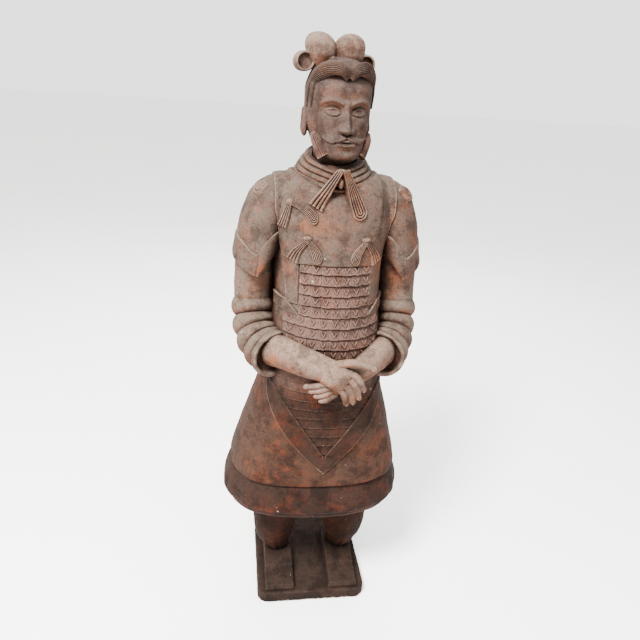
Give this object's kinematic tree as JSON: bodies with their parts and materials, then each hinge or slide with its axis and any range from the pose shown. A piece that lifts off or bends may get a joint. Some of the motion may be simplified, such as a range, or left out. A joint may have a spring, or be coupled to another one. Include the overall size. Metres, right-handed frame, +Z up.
{
  "type": "terracotta warrior statue",
  "caption": "Standing fired-clay statue of a robed officer in scale armour, hands crossed in front, on a thin square plinth, with a separate lift-off head.",
  "frame": {"origin": "centre of the plinth's underside", "axes": "+Z up through the figure; the figure faces -Y, and +X is its left"},
  "size_m": [0.562, 0.4529, 1.688],
  "materials": {
    "clay": "matt fired clay with a grey-mauve patina, paler worn edges and orange-brown patches",
    "head_clay": "matt fired clay, a little paler and greyer than the body"
  },
  "bodies": {
    "root": {"body": "clay", "head": "head_clay"}
  },
  "joints": []
}
